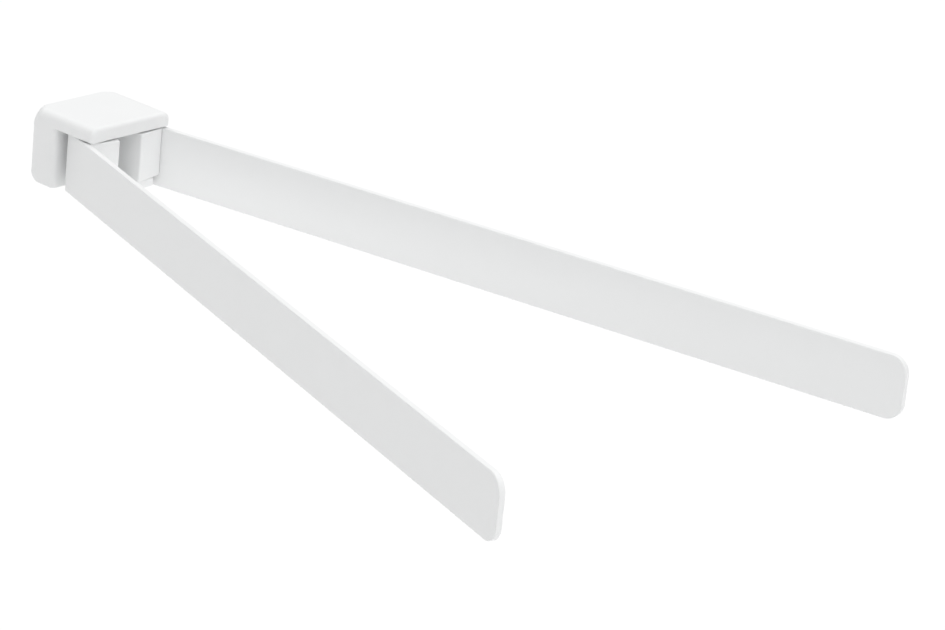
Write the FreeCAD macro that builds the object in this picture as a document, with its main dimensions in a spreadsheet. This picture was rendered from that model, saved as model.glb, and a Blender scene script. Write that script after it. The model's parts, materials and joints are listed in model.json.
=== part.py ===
"""Swing arm towel bar: two flat bars that swing on a small block fixed to the wall.

The frame is in millimetres. The wall is the plane y = 0 and the object stands out from it along -Y,
+Z is up, and the origin is the centre of the wall plate's back. Each arm is drawn straight out from
its own pivot and then turned to its rest angle by its Placement.
"""

import FreeCAD, Part
import os
import Sketcher

SIZES = [
    # the wall block: a slab on the wall, a hood over the knuckles and a lug under them
    ("block_width", 51.0),
    ("block_height", 37.0),
    ("slab_depth", 16.0),
    ("hood_depth", 41.5),
    ("hood_thickness", 7.2),
    ("corner_mid_depth", 2.5),
    ("corner_full_depth", 5.0),
    ("top_wall_radius", 13.0),
    ("top_mid_radius", 6.2),
    ("top_edge_radius", 4.0),
    ("foot_wall_radius", 9.0),
    ("foot_mid_radius", 2.6),
    ("foot_edge_radius", 0.5),
    ("back_bevel", 1.2),
    ("back_edge_radius", 0.8),
    ("front_edge_radius", 2.0),
    ("under_edge_radius", 0.8),
    ("slab_edge_radius", 2.8),
    ("lug_thickness", 4.8),
    ("lug_depth", 40.0),
    ("lug_side", 7.0),
    ("lug_corner_radius", 1.5),
    ("lug_edge_radius", 1.0),
    # the hollow behind the slab and the plate that it hooks on
    ("side_wall", 3.0),
    ("front_wall", 3.5),
    ("foot_wall", 4.0),
    ("hollow_corner_radius", 3.0),
    ("plate_thickness", 2.0),
    ("plate_side_gap", 3.0),
    ("plate_foot_gap", 2.5),
    ("plate_bend_radius", 0.6),
    ("tab_depth", 9.0),
    ("hook_height", 2.2),
    ("hook_play", 0.3),
    ("screw_spacing", 24.0),
    ("screw_slot_width", 5.2),
    ("screw_slot_length", 8.0),
    # the screw that locks the block on the plate
    ("lock_screw_width", 5.0),
    ("lock_screw_sunk", 0.5),
    ("lock_point_width", 3.0),
    ("lock_point_length", 1.5),
    ("lock_key_width", 2.5),
    ("lock_key_depth", 2.5),
    # the pivots
    ("pivot_inset", 13.5),
    ("pivot_depth", 28.5),
    ("shoulder_width", 6.0),
    ("thread_width", 5.0),
    ("thread_length", 5.5),
    ("thread_hole_room", 0.5),
    ("head_width", 8.0),
    ("head_height", 2.0),
    ("head_sunk", 0.2),
    ("head_play", 0.25),
    ("key_width", 3.0),
    ("key_depth", 1.4),
    ("running_clearance", 0.05),
    ("fixed_clearance", 0.02),
    ("washer_width", 12.0),
    ("washer_play", 0.2),
    ("wave_washer_height", 0.5),
    ("thrust_washer_thickness", 0.2),
    ("bush_wall", 1.45),
    ("bush_length", 8.0),
    ("flange_width", 13.0),
    ("flange_thickness", 0.5),
    ("flange_play", 0.1),
    # the arms
    ("knuckle_inner", 7.9),
    ("knuckle_outer", 7.9),
    ("knuckle_front", 13.4),
    ("knuckle_top_gap", 0.6),
    ("knuckle_rear_gap", 0.9),
    ("knuckle_rear_radius", 7.0),
    ("knuckle_corner_radius", 1.2),
    ("knuckle_edge_radius", 0.6),
    ("bar_height", 30.0),
    ("bar_thickness", 3.0),
    ("bar_reach", 417.3),
    ("bar_tail", 5.8),
    ("bar_top_gap", 0.65),
    ("bar_tip_radius", 8.5),
    ("bar_tail_radius", 1.2),
    ("bar_edge_radius", 0.6),
    ("sweep_gap", 0.5),
    ("rivet_width", 4.0),
    ("rivet_head_width", 7.0),
    ("rivet_head_height", 1.5),
    ("rivet_depth", 12.0),
    ("rivet_spacing", 14.0),
    ("rivet_ahead", 9.0),
    # how far the cuts in the block's outside run past it
    ("cut_margin", 1.0),
    # rest angles, in degrees outwards from straight out
    ("left_rest_angle", 19.0),
    ("right_rest_angle", 9.0),
]

doc = FreeCAD.newDocument("swing_arm_towel_bar")
sheet = doc.addObject("Spreadsheet::Sheet", "Sizes")
for row, (alias, value) in enumerate(SIZES, start=1):
    sheet.set(f"A{row}", alias)
    sheet.set(f"B{row}", str(value))
    sheet.setAlias(f"B{row}", alias)
doc.recompute()

# Places that several pieces share, as expressions on the sheet.
FLOOR = "(-Sizes.block_height / 2)"
ROOF = "(Sizes.block_height / 2)"
HOOD_UNDER = f"({ROOF} - Sizes.hood_thickness)"
LUG_TOP = f"({FLOOR} + Sizes.lug_thickness)"
HOLLOW_HALF = "(Sizes.block_width / 2 - Sizes.side_wall)"
HOLLOW_DEPTH = "(Sizes.slab_depth - Sizes.front_wall)"
HOLLOW_FLOOR = f"({FLOOR} + Sizes.foot_wall)"
PLATE_FLOOR = f"({HOLLOW_FLOOR} + Sizes.plate_foot_gap)"
PLATE_HALF = f"({HOLLOW_HALF} - Sizes.plate_side_gap)"
TAB_MIDDLE = "((Sizes.plate_thickness + Sizes.tab_depth) / 2)"
PIVOT_X = "(Sizes.block_width / 2 - Sizes.pivot_inset)"
KNUCKLE_FLOOR = f"({LUG_TOP} + Sizes.flange_thickness)"
KNUCKLE_ROOF = f"({HOOD_UNDER} - Sizes.knuckle_top_gap)"
WAVE_FLOOR = f"({HOOD_UNDER} - Sizes.wave_washer_height)"
UPPER_FLANGE_ROOF = f"({WAVE_FLOOR} - Sizes.thrust_washer_thickness)"
UPPER_FLANGE_FLOOR = f"({UPPER_FLANGE_ROOF} - Sizes.flange_thickness)"
KNUCKLE_MIDDLE = f"(({KNUCKLE_FLOOR} + {KNUCKLE_ROOF}) / 2)"
KNUCKLE_REAR = "(Sizes.pivot_depth - Sizes.slab_depth - Sizes.knuckle_rear_gap)"
BAR_ROOF = f"({HOOD_UNDER} - Sizes.bar_top_gap)"
HEAD_FLOOR = f"({FLOOR} + Sizes.head_sunk)"
HEAD_ROOF = f"({HEAD_FLOOR} + Sizes.head_height)"
LUG_REAR = "(Sizes.pivot_depth - Sizes.knuckle_outer + Sizes.sweep_gap)"
LUG_NECK = f"({PIVOT_X} - Sizes.bar_tail - Sizes.sweep_gap)"
LUG_HALF = f"({PIVOT_X} + Sizes.lug_side)"
RIVET_HOLE = "Sizes.rivet_width + 2 * Sizes.fixed_clearance"
BUSH_BORE = "(Sizes.shoulder_width / 2 + Sizes.running_clearance)"
BUSH_RADIUS = f"({BUSH_BORE} + Sizes.bush_wall)"
RIVET_HEIGHTS = {
    "lower": f"({KNUCKLE_MIDDLE} - Sizes.rivet_spacing / 2)",
    "upper": f"({KNUCKLE_MIDDLE} + Sizes.rivet_spacing / 2)",
}
FLAT = 0.01


def value_of(expression):
    """The number that an expression on the sheet gives."""
    result = sheet.evalExpression(expression)
    return float(getattr(result, "Value", result))


def new_body(label):
    """An empty body whose label names its piece."""
    body = doc.addObject("PartDesign::Body", label)
    body.Label = label
    return body


def plane_of(body, role):
    """One of the body's own origin planes."""
    return next(plane for plane in body.Origin.OriginFeatures if plane.Role == role)


def new_sketch(body, name, role, offset="0"):
    """A sketch on an origin plane of the body, moved along the plane's normal by an expression."""
    sketch = body.newObject("Sketcher::SketchObject", name)
    sketch.AttachmentSupport = (plane_of(body, role), "")
    sketch.MapMode = "FlatFace"
    sketch.setExpression("AttachmentOffset.Base.z", offset)
    return sketch


def hold(sketch, kind, arguments, expression, name):
    """Adds a dimension to the sketch and binds it to an expression."""
    index = sketch.addConstraint(Sketcher.Constraint(kind, *arguments, value_of(expression)))
    sketch.renameConstraint(index, name)
    sketch.setExpression(f"Constraints.{name}", expression)


def square_loop(sketch, corners):
    """Draws a closed loop of level and upright lines whose corners may be rounded.

    Each corner is (across, up, radius), as expressions, and a radius of None is a sharp corner.
    """
    count = len(corners)
    places = [FreeCAD.Vector(value_of(x), value_of(y), 0) for x, y, _ in corners]
    radii = [0.0 if radius is None else value_of(radius) for _, _, radius in corners]
    lines = []
    for i in range(count):
        here, there = places[i], places[(i + 1) % count]
        along = (there - here).normalize()
        start = here + along * radii[i]
        end = there - along * radii[(i + 1) % count]
        lines.append(sketch.addGeometry(Part.LineSegment(start, end), False))
        level = abs(along.x) > abs(along.y)
        sketch.addConstraint(Sketcher.Constraint("Horizontal" if level else "Vertical", lines[i]))
        axis, place = ("DistanceY", corners[i][1]) if level else ("DistanceX", corners[i][0])
        if abs(value_of(place)) < 1e-9:
            on_axis = -1 if level else -2
            sketch.addConstraint(Sketcher.Constraint("PointOnObject", lines[i], 1, on_axis))
        else:
            hold(sketch, axis, (-1, 1, lines[i], 1), place, f"line_{i}")
    for i, (_, _, radius) in enumerate(corners):
        before, after = lines[i - 1], lines[i]
        if radius is None:
            sketch.addConstraint(Sketcher.Constraint("Coincident", before, 2, after, 1))
            continue
        back = (places[i - 1] - places[i]).normalize() * radii[i]
        ahead = (places[(i + 1) % count] - places[i]).normalize() * radii[i]
        middle = places[i] + back + ahead
        bulge = middle - (back + ahead).normalize() * radii[i]
        arc = Part.Arc(places[i] + back, bulge, places[i] + ahead)
        bend = sketch.addGeometry(arc, False)
        turns_left = (-back).cross(ahead).z > 0
        first, last = (1, 2) if turns_left else (2, 1)
        sketch.addConstraint(Sketcher.Constraint("Tangent", before, 2, bend, first))
        sketch.addConstraint(Sketcher.Constraint("Tangent", bend, last, after, 1))
        hold(sketch, "Radius", (bend,), radius, f"bend_{i}")


def add_pad(body, sketch, length, name, both_ways=False, backwards=False):
    """Pads a sketch by an expression."""
    pad = body.newObject("PartDesign::Pad", name)
    pad.Profile = sketch
    pad.SideType = "Symmetric" if both_ways else "One side"
    pad.Reversed = backwards
    pad.setExpression("Length", length)
    return pad


def add_pocket(body, sketch, length, name, both_ways=False, backwards=False):
    """Cuts a sketch into the body by an expression."""
    pocket = body.newObject("PartDesign::Pocket", name)
    pocket.Profile = sketch
    pocket.SideType = "Symmetric" if both_ways else "One side"
    pocket.Reversed = backwards
    pocket.setExpression("Length", length)
    return pocket


def picked_edges(body, name, wanted):
    """The body's tip, and the names of those of its edges that the test called wanted picks."""
    doc.recompute()
    tip = body.Tip
    names = [f"Edge{i}" for i, edge in enumerate(tip.Shape.Edges, start=1) if wanted(edge)]
    assert names, f"{name} finds no edge"
    return tip, names


def add_round(body, name, radius, wanted):
    """Rounds the edges of the body's tip that the test called wanted picks."""
    base = picked_edges(body, name, wanted)
    fillet = body.newObject("PartDesign::Fillet", name)
    fillet.Base = base
    fillet.setExpression("Radius", radius)


def add_bevel(body, name, size, wanted):
    """Bevels the edges of the body's tip that the test called wanted picks."""
    base = picked_edges(body, name, wanted)
    chamfer = body.newObject("PartDesign::Chamfer", name)
    chamfer.Base = base
    chamfer.setExpression("Size", size)


def add_primitive(body, kind, name, sizes, place, role="XY_Plane"):
    """Adds or cuts a primitive that stands on an origin plane: its sizes and place are expressions.

    The place is along the plane's own two axes and then along its normal.
    """
    piece = body.newObject(f"PartDesign::{kind}", name)
    piece.AttachmentSupport = (plane_of(body, role), "")
    piece.MapMode = "FlatFace"
    piece.Refine = False
    for size, expression in sizes.items():
        piece.setExpression(size, expression)
    for axis, expression in zip("xyz", place):
        piece.setExpression(f"AttachmentOffset.Base.{axis}", expression)
    return piece


def drill(body, name, width, depth, place, role="XY_Plane"):
    """Cuts a round hole."""
    sizes = {"Radius": f"({width}) / 2", "Height": depth}
    add_primitive(body, "SubtractiveCylinder", name, sizes, place, role)


def cut_hex(body, name, key_width, depth, floor):
    """Cuts a hexagonal socket upwards from the underside of a screw's head."""
    sizes = {"Circumradius": f"{key_width} / sqrt(3)", "Height": depth}
    socket = add_primitive(body, "SubtractivePrism", name, sizes, ("0", "0", floor))
    socket.Polygon = 6


def turned_body(label, profile):
    """A turned piece: a closed half profile of (radius, height, corner radius) round the Z axis."""
    body = new_body(label)
    sketch = new_sketch(body, f"{label}_profile", "XZ_Plane")
    square_loop(sketch, profile)
    turn = body.newObject("PartDesign::Revolution", f"{label}_turn")
    turn.Profile = sketch
    turn.ReferenceAxis = (sketch, ["V_Axis"])
    return body


# ---- the housing: one casting, with slab, hood and lug ----
housing = new_body("housing")


def block_section(name, depth, level):
    """The outline of the block, seen from the front, at a depth whose level names its corner radii."""
    sketch = new_sketch(housing, name, "XZ_Plane", depth)
    half = "Sizes.block_width / 2"
    corners = [
        (f"-{half}", FLOOR, f"Sizes.foot_{level}_radius"),
        (half, FLOOR, f"Sizes.foot_{level}_radius"),
        (half, ROOF, f"Sizes.top_{level}_radius"),
        (f"-{half}", ROOF, f"Sizes.top_{level}_radius"),
    ]
    square_loop(sketch, corners)
    return sketch


at_wall = block_section("at_wall", "0", "wall")
at_mid = block_section("at_mid", "Sizes.corner_mid_depth", "mid")
at_full = block_section("at_full", "Sizes.corner_full_depth", "edge")
soft_back = housing.newObject("PartDesign::AdditiveLoft", "soft_back")
soft_back.Profile = at_wall
soft_back.Sections = [at_mid, at_full]
at_front = block_section("at_front", "Sizes.corner_full_depth", "edge")
add_pad(housing, at_front, "Sizes.hood_depth - Sizes.corner_full_depth", "block")

# The space under the hood, where the knuckles turn.
recess = new_sketch(housing, "recess_side", "YZ_Plane")
recess_corners = [
    ("-Sizes.hood_depth - Sizes.cut_margin", f"{FLOOR} - Sizes.cut_margin", None),
    ("-Sizes.slab_depth", f"{FLOOR} - Sizes.cut_margin", None),
    ("-Sizes.slab_depth", HOOD_UNDER, None),
    ("-Sizes.hood_depth - Sizes.cut_margin", HOOD_UNDER, None),
]
square_loop(recess, recess_corners)
add_pocket(housing, recess, "Sizes.block_width + 2 * Sizes.cut_margin", "recess", both_ways=True)


def is_level(edge):
    """Whether an edge lies in a level plane."""
    return edge.BoundBox.ZLength < FLAT


def is_at_depth(edge, depth, slack=FLAT):
    """Whether an edge lies in the upright plane that is this far from the wall."""
    box = edge.BoundBox
    return abs(box.YMin + value_of(depth)) < slack and abs(box.YMax + value_of(depth)) < slack


def is_under_hood(edge):
    """Whether an edge lies in the plane of the hood's underside."""
    box = edge.BoundBox
    return abs(box.ZMin - value_of(HOOD_UNDER)) < FLAT and abs(box.ZMax - value_of(HOOD_UNDER)) < FLAT


def on_hood_front(edge):
    """Whether an edge bounds the hood's front, apart from the one at the front's foot."""
    return is_at_depth(edge, "Sizes.hood_depth") and not is_under_hood(edge)


def on_hood_foot(edge):
    """Whether an edge runs round the foot of the hood."""
    return is_under_hood(edge) and not is_at_depth(edge, "Sizes.slab_depth")


add_round(housing, "front_round", "Sizes.front_edge_radius", on_hood_front)
add_round(housing, "under_round", "Sizes.under_edge_radius", on_hood_foot)
add_bevel(housing, "back_bevel", "Sizes.back_bevel", lambda edge: is_at_depth(edge, "0"))
bevel_slack = 0.3 * value_of("Sizes.back_bevel")
add_round(
    housing,
    "back_round",
    "Sizes.back_edge_radius",
    lambda edge: is_at_depth(edge, "Sizes.back_bevel", bevel_slack),
)

# The slab's two upright front edges are cut round, up to the hood.
slab_plan = new_sketch(housing, "slab_plan", "XY_Plane", FLOOR)
slab_half = "Sizes.block_width / 2"
slab_outside = f"({slab_half} + Sizes.cut_margin)"
slab_behind = "(-Sizes.slab_depth + Sizes.slab_edge_radius + Sizes.cut_margin)"
slab_corners = [
    (f"-{slab_outside}", "-Sizes.slab_depth - Sizes.cut_margin", None),
    (slab_outside, "-Sizes.slab_depth - Sizes.cut_margin", None),
    (slab_outside, slab_behind, None),
    (slab_half, slab_behind, None),
    (slab_half, "-Sizes.slab_depth", "Sizes.slab_edge_radius"),
    (f"-{slab_half}", "-Sizes.slab_depth", "Sizes.slab_edge_radius"),
    (f"-{slab_half}", slab_behind, None),
    (f"-{slab_outside}", slab_behind, None),
]
square_loop(slab_plan, slab_corners)
add_pocket(housing, slab_plan, f"{HOOD_UNDER} - {FLOOR}", "slab_edges", backwards=True)

# The lug is a T: its neck and its back corners stay inside the sweep of the bars.
lug_plan = new_sketch(housing, "lug_plan", "XY_Plane", FLOOR)
lug_root = "(-Sizes.slab_depth + Sizes.front_wall)"
lug_corners = [
    (f"-{LUG_HALF}", "-Sizes.lug_depth", "Sizes.lug_corner_radius"),
    (LUG_HALF, "-Sizes.lug_depth", "Sizes.lug_corner_radius"),
    (LUG_HALF, f"-{LUG_REAR}", "Sizes.lug_side"),
    (LUG_NECK, f"-{LUG_REAR}", None),
    (LUG_NECK, lug_root, None),
    (f"-{LUG_NECK}", lug_root, None),
    (f"-{LUG_NECK}", f"-{LUG_REAR}", None),
    (f"-{LUG_HALF}", f"-{LUG_REAR}", "Sizes.lug_side"),
]
square_loop(lug_plan, lug_corners)
add_pad(housing, lug_plan, "Sizes.lug_thickness", "lug")


def on_lug_front(edge):
    """Whether an edge is the long front edge of the lug, at its top or its bottom."""
    return is_at_depth(edge, "Sizes.lug_depth") and is_level(edge)


add_round(housing, "lug_round", "Sizes.lug_edge_radius", on_lug_front)

# The hollow behind the slab, and the groove in its roof for the plate's hook.
hollow = new_sketch(housing, "hollow_outline", "XZ_Plane")
hollow_corners = [
    (f"-{HOLLOW_HALF}", HOLLOW_FLOOR, "Sizes.hollow_corner_radius"),
    (HOLLOW_HALF, HOLLOW_FLOOR, "Sizes.hollow_corner_radius"),
    (HOLLOW_HALF, HOOD_UNDER, "Sizes.hollow_corner_radius"),
    (f"-{HOLLOW_HALF}", HOOD_UNDER, "Sizes.hollow_corner_radius"),
]
square_loop(hollow, hollow_corners)
add_pocket(housing, hollow, HOLLOW_DEPTH, "hollow", backwards=True)
groove = new_sketch(housing, "groove_plan", "XY_Plane", HOOD_UNDER)
groove_half = f"({PLATE_HALF} + Sizes.hook_play)"
groove_near = "-(Sizes.tab_depth - Sizes.plate_thickness - Sizes.hook_play)"
groove_far = "-(Sizes.tab_depth + Sizes.hook_play)"
groove_corners = [
    (f"-{groove_half}", groove_far, None),
    (groove_half, groove_far, None),
    (groove_half, groove_near, None),
    (f"-{groove_half}", groove_near, None),
]
square_loop(groove, groove_corners)
add_pocket(housing, groove, "Sizes.hook_height + Sizes.hook_play", "groove", backwards=True)

# The holes for the lock screw and for the two pivot screws.
lock_hole = "Sizes.lock_screw_width + 2 * Sizes.fixed_clearance"
drill(housing, "lock_hole", lock_hole, "Sizes.foot_wall", ("0", f"-{TAB_MIDDLE}", FLOOR))
for side, word in ((-1, "left"), (1, "right")):
    across = f"{side} * {PIVOT_X}"
    shoulder_hole = "Sizes.shoulder_width + 2 * Sizes.running_clearance"
    head_hole = "Sizes.head_width + 2 * Sizes.head_play"
    thread_hole = "Sizes.thread_width + 2 * Sizes.fixed_clearance"
    place = (across, "-Sizes.pivot_depth")
    drill(housing, f"{word}_shoulder_hole", shoulder_hole, "Sizes.lug_thickness", (*place, FLOOR))
    head_depth = "Sizes.head_sunk + Sizes.head_height"
    drill(housing, f"{word}_head_hole", head_hole, head_depth, (*place, FLOOR))
    thread_depth = "Sizes.thread_length + Sizes.thread_hole_room"
    drill(housing, f"{word}_thread_hole", thread_hole, thread_depth, (*place, HOOD_UNDER))

# ---- the wall plate: a bent strip that is screwed to the wall ----
wall_plate = new_body("wall_plate")
plate_side = new_sketch(wall_plate, "plate_side", "YZ_Plane")
inner_bend = "Sizes.plate_bend_radius"
outer_bend = "Sizes.plate_bend_radius + Sizes.plate_thickness"
hook_near = "-(Sizes.tab_depth - Sizes.plate_thickness)"
hook_roof = f"({HOOD_UNDER} + Sizes.hook_height)"
plate_corners = [
    ("0", PLATE_FLOOR, outer_bend),
    ("0", HOOD_UNDER, outer_bend),
    (hook_near, HOOD_UNDER, inner_bend),
    (hook_near, hook_roof, None),
    ("-Sizes.tab_depth", hook_roof, None),
    ("-Sizes.tab_depth", f"{HOOD_UNDER} - Sizes.plate_thickness", outer_bend),
    ("-Sizes.plate_thickness", f"{HOOD_UNDER} - Sizes.plate_thickness", inner_bend),
    ("-Sizes.plate_thickness", f"{PLATE_FLOOR} + Sizes.plate_thickness", inner_bend),
    ("-Sizes.tab_depth", f"{PLATE_FLOOR} + Sizes.plate_thickness", None),
    ("-Sizes.tab_depth", PLATE_FLOOR, None),
]
square_loop(plate_side, plate_corners)
add_pad(wall_plate, plate_side, f"2 * {PLATE_HALF}", "strip", both_ways=True)
for side, word in ((-1, "left"), (1, "right")):
    half_straight = "(Sizes.screw_slot_length - Sizes.screw_slot_width) / 2"
    for end in (-1, 1):
        across = f"{side} * Sizes.screw_spacing / 2 + {end} * {half_straight}"
        place = (across, "0", "0")
        name = f"{word}_slot_{'inner' if side * end < 0 else 'outer'}"
        drill(wall_plate, name, "Sizes.screw_slot_width", "Sizes.plate_thickness", place, "XZ_Plane")
    sizes = {
        "Length": f"2 * {half_straight}",
        "Width": "Sizes.screw_slot_width",
        "Height": "Sizes.plate_thickness",
    }
    place = (f"{side} * Sizes.screw_spacing / 2 - {half_straight}", "-Sizes.screw_slot_width / 2", "0")
    add_primitive(wall_plate, "SubtractiveBox", f"{word}_slot_middle", sizes, place, "XZ_Plane")
point_hole = "Sizes.lock_point_width + 2 * Sizes.running_clearance"
point_place = ("0", f"-{TAB_MIDDLE}", PLATE_FLOOR)
drill(wall_plate, "point_hole", point_hole, "Sizes.plate_thickness", point_place)

# ---- the lock screw: it pushes the plate's lower tab up and so pulls the housing down on the hook ----
lock_floor = f"({FLOOR} + Sizes.lock_screw_sunk)"
point_roof = f"({PLATE_FLOOR} + Sizes.lock_point_length)"
lock_profile = [
    ("0", lock_floor, None),
    ("Sizes.lock_screw_width / 2", lock_floor, None),
    ("Sizes.lock_screw_width / 2", PLATE_FLOOR, None),
    ("Sizes.lock_point_width / 2", PLATE_FLOOR, None),
    ("Sizes.lock_point_width / 2", point_roof, None),
    ("0", point_roof, None),
]
lock_screw = turned_body("lock_screw", lock_profile)
cut_hex(lock_screw, "lock_socket", "Sizes.lock_key_width", "Sizes.lock_key_depth", lock_floor)
lock_screw.setExpression("Placement.Base.y", f"-{TAB_MIDDLE}")


def ring(label, inner, outer, floor, roof):
    """A flat ring round the Z axis."""
    profile = [(inner, floor, None), (outer, floor, None), (outer, roof, None), (inner, roof, None)]
    return turned_body(label, profile)


def flanged_bush(label, sleeve_end, flange_inside, flange_outside):
    """A bush with a flange on a face of the knuckle: the three heights run from sleeve to flange."""
    profile = [
        (BUSH_BORE, flange_outside, None),
        ("Sizes.flange_width / 2", flange_outside, None),
        ("Sizes.flange_width / 2", flange_inside, None),
        (BUSH_RADIUS, flange_inside, None),
        (BUSH_RADIUS, sleeve_end, None),
        (BUSH_BORE, sleeve_end, None),
    ]
    return turned_body(label, profile)


def is_on_side(edge):
    """Whether an edge lies in an upright plane along the arm."""
    return edge.BoundBox.XLength < FLAT


def make_knuckle(label, side):
    """The block between hood and lug that turns on the pivot: side is -1 for left and 1 for right."""
    body = new_body(label)
    inner, outer = "Sizes.knuckle_inner", "Sizes.knuckle_outer"
    low, high = (f"-{inner}", outer) if side > 0 else (f"-{outer}", inner)
    plan = new_sketch(body, f"{label}_plan", "XY_Plane", KNUCKLE_FLOOR)
    front_radius, rear_radius = "Sizes.knuckle_corner_radius", "Sizes.knuckle_rear_radius"
    corners = [
        (low, "-Sizes.knuckle_front", front_radius),
        (high, "-Sizes.knuckle_front", front_radius),
        (high, KNUCKLE_REAR, rear_radius),
        (low, KNUCKLE_REAR, rear_radius),
    ]
    square_loop(plan, corners)
    add_pad(body, plan, f"{KNUCKLE_ROOF} - {KNUCKLE_FLOOR}", f"{label}_block")
    add_round(body, f"{label}_round", "Sizes.knuckle_edge_radius", is_level)
    bore = f"2 * ({BUSH_RADIUS} + Sizes.fixed_clearance)"
    drill(body, f"{label}_bore", bore, f"{KNUCKLE_ROOF} - {KNUCKLE_FLOOR}", ("0", "0", KNUCKLE_FLOOR))
    seat = "Sizes.flange_width + 2 * Sizes.flange_play"
    seat_depth = f"{KNUCKLE_ROOF} - {UPPER_FLANGE_FLOOR}"
    drill(body, f"{label}_seat", seat, seat_depth, ("0", "0", UPPER_FLANGE_FLOOR))
    depth = "(Sizes.rivet_depth - Sizes.bar_thickness + Sizes.fixed_clearance)"
    start = f"Sizes.knuckle_outer - {depth}" if side > 0 else "-Sizes.knuckle_outer"
    rivet_holes(body, label, depth, start)
    return body


def rivet_holes(body, label, depth, start):
    """Two holes across the arm, one over the other, which start at a distance from the pivot."""
    for word, height in RIVET_HEIGHTS.items():
        place = ("-Sizes.rivet_ahead", height, start)
        drill(body, f"{label}_{word}_hole", RIVET_HOLE, depth, place, "YZ_Plane")


def make_bar(label, side):
    """The flat bar on the outer side of the knuckle."""
    body = new_body(label)
    outline = new_sketch(body, f"{label}_outline", "YZ_Plane", f"{side} * Sizes.knuckle_outer")
    floor = f"({BAR_ROOF} - Sizes.bar_height)"
    corners = [
        ("-Sizes.bar_reach", floor, "Sizes.bar_tip_radius"),
        ("Sizes.bar_tail", floor, "Sizes.bar_tail_radius"),
        ("Sizes.bar_tail", BAR_ROOF, "Sizes.bar_tail_radius"),
        ("-Sizes.bar_reach", BAR_ROOF, "Sizes.bar_tip_radius"),
    ]
    square_loop(outline, corners)
    add_pad(body, outline, "Sizes.bar_thickness", f"{label}_strip", backwards=side < 0)
    add_round(body, f"{label}_round", "Sizes.bar_edge_radius", is_on_side)
    start = "Sizes.knuckle_outer" if side > 0 else "-Sizes.knuckle_outer - Sizes.bar_thickness"
    rivet_holes(body, label, "Sizes.bar_thickness", start)
    for word, height in RIVET_HEIGHTS.items():
        add_head(body, "SubtractiveCone", f"{label}_{word}_sink", side, height, "Sizes.fixed_clearance")
    return body


def make_rivet(label, side, height):
    """A flush rivet that holds the bar on the knuckle: its head fills the bar's countersink."""
    body = new_body(label)
    outer_face = f"{side} * (Sizes.knuckle_outer + Sizes.bar_thickness)"
    start = f"{outer_face} - Sizes.rivet_depth" if side > 0 else outer_face
    place = ("-Sizes.rivet_ahead", height, start)
    sizes = {"Radius": "Sizes.rivet_width / 2", "Height": "Sizes.rivet_depth"}
    add_primitive(body, "AdditiveCylinder", f"{label}_shank", sizes, place, "YZ_Plane")
    add_head(body, "AdditiveCone", f"{label}_head", side, height, "0")
    return body


def add_head(body, kind, name, side, height, play):
    """A countersunk head, or the room for one, whose wide end is the bar's outer face."""
    wide = f"Sizes.rivet_head_width / 2 + {play}"
    narrow = f"Sizes.rivet_width / 2 + {play}"
    outer_face = f"{side} * (Sizes.knuckle_outer + Sizes.bar_thickness)"
    start = f"{outer_face} - Sizes.rivet_head_height" if side > 0 else outer_face
    first, last = (narrow, wide) if side > 0 else (wide, narrow)
    sizes = {"Radius1": first, "Radius2": last, "Height": "Sizes.rivet_head_height"}
    add_primitive(body, kind, name, sizes, ("-Sizes.rivet_ahead", height, start), "YZ_Plane")


def pivot_screw(label):
    """The screw that an arm turns on: head sunk in the lug, smooth shoulder, thread in the hood."""
    profile = [
        ("0", HEAD_FLOOR, None),
        ("Sizes.head_width / 2", HEAD_FLOOR, None),
        ("Sizes.head_width / 2", HEAD_ROOF, None),
        ("Sizes.shoulder_width / 2", HEAD_ROOF, None),
        ("Sizes.shoulder_width / 2", HOOD_UNDER, None),
        ("Sizes.thread_width / 2", HOOD_UNDER, None),
        ("Sizes.thread_width / 2", f"{HOOD_UNDER} + Sizes.thread_length", None),
        ("0", f"{HOOD_UNDER} + Sizes.thread_length", None),
    ]
    body = turned_body(label, profile)
    cut_hex(body, f"{label}_socket", "Sizes.key_width", "Sizes.key_depth", HEAD_FLOOR)
    return body


# ---- everything on the two pivots ----
WASHER_INNER = "Sizes.shoulder_width / 2 + Sizes.washer_play"
WASHER_OUTER = "Sizes.washer_width / 2"
for side, word in ((-1, "left"), (1, "right")):
    fixed = [
        pivot_screw(f"{word}_pivot_screw"),
        ring(f"{word}_wave_washer", WASHER_INNER, WASHER_OUTER, WAVE_FLOOR, HOOD_UNDER),
        ring(f"{word}_thrust_washer", WASHER_INNER, WASHER_OUTER, UPPER_FLANGE_ROOF, WAVE_FLOOR),
    ]
    lower_end = f"{KNUCKLE_FLOOR} + Sizes.bush_length"
    upper_end = f"{UPPER_FLANGE_FLOOR} - Sizes.bush_length"
    turning = [
        make_bar(f"{word}_bar", side),
        make_knuckle(f"{word}_knuckle", side),
        make_rivet(f"{word}_lower_rivet", side, RIVET_HEIGHTS["lower"]),
        make_rivet(f"{word}_upper_rivet", side, RIVET_HEIGHTS["upper"]),
        flanged_bush(f"{word}_lower_bush", lower_end, KNUCKLE_FLOOR, LUG_TOP),
        flanged_bush(f"{word}_upper_bush", upper_end, UPPER_FLANGE_FLOOR, UPPER_FLANGE_ROOF),
    ]
    for piece in fixed + turning:
        piece.setExpression("Placement.Base.x", f"{side} * {PIVOT_X}")
        piece.setExpression("Placement.Base.y", "-Sizes.pivot_depth")
    for piece in turning:
        piece.setExpression("Placement.Rotation.Angle", f"{side} * Sizes.{word}_rest_angle")

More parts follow.
